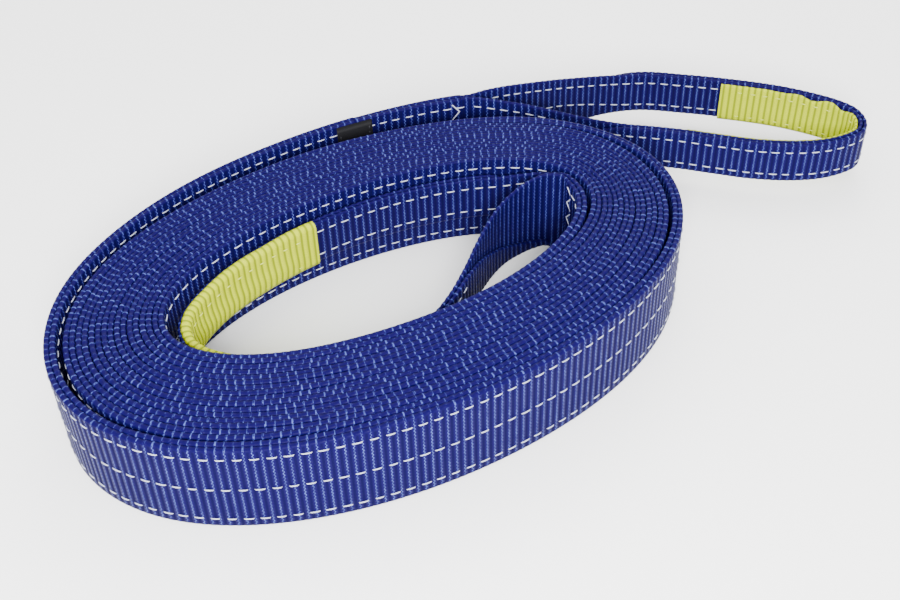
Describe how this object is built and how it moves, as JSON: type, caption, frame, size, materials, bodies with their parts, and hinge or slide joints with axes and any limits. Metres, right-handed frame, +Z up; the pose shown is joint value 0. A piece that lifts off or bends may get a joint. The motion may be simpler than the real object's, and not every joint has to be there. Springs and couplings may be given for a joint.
{
  "type": "flat web sling",
  "caption": "Flat lifting sling of doubled webbing with a folded, lined eye at each end, rolled into an oval coil on its edge with the outer eye lying free.",
  "frame": {"origin": "on the ground, under the middle of the whole sling as it lies coiled", "axes": "+Z up, across the width of the webbing; +X along the coil's long axis, towards the outer eye"},
  "size_m": [0.449, 0.207, 0.05],
  "materials": {
    "webbing": "woven polyester, dark blue with paler ribs, matte",
    "wear_pad": "woven, bright yellow-green, matte",
    "thread": "white sewing thread",
    "label": "dark smooth label, blank"
  },
  "bodies": {
    "coil": {"body_inner_ply": "webbing", "body_outer_ply": "webbing", "body_stitch_lower": "thread", "body_stitch_middle": "thread", "body_stitch_upper": "thread", "inner_eye_web": "webbing", "inner_eye_stitch_lower": "thread", "inner_eye_stitch_upper": "thread", "inner_eye_pad": "wear_pad", "inner_eye_pad_stitch_lower": "thread", "inner_eye_pad_stitch_upper": "thread", "inner_throat_tack": "thread"},
    "outer_end": {"outer_end_inner_ply": "webbing", "outer_end_outer_ply": "webbing", "outer_end_stitch_lower": "thread", "outer_end_stitch_middle": "thread", "outer_end_stitch_upper": "thread", "outer_throat_tack": "thread", "identity_label": "label", "label_stitch": "thread"},
    "outer_eye": {"outer_eye_web": "webbing", "outer_eye_stitch_lower": "thread", "outer_eye_stitch_upper": "thread", "outer_eye_pad": "wear_pad", "outer_eye_pad_stitch_lower": "thread", "outer_eye_pad_stitch_upper": "thread"}
  },
  "joints": [
    {"name": "outer_end_peel", "type": "hinge", "parent": "coil", "child": "outer_end", "pos_m": [-0.22106, 0.00357, 0.025], "axis": [0, 0, 1], "range_deg": [0, 30]},
    {"name": "outer_eye_swing", "type": "hinge", "parent": "outer_end", "child": "outer_eye", "pos_m": [0.02837, 0.08955, 0.025], "axis": [0, 0, 1], "range_deg": [-12, 30]}
  ]
}
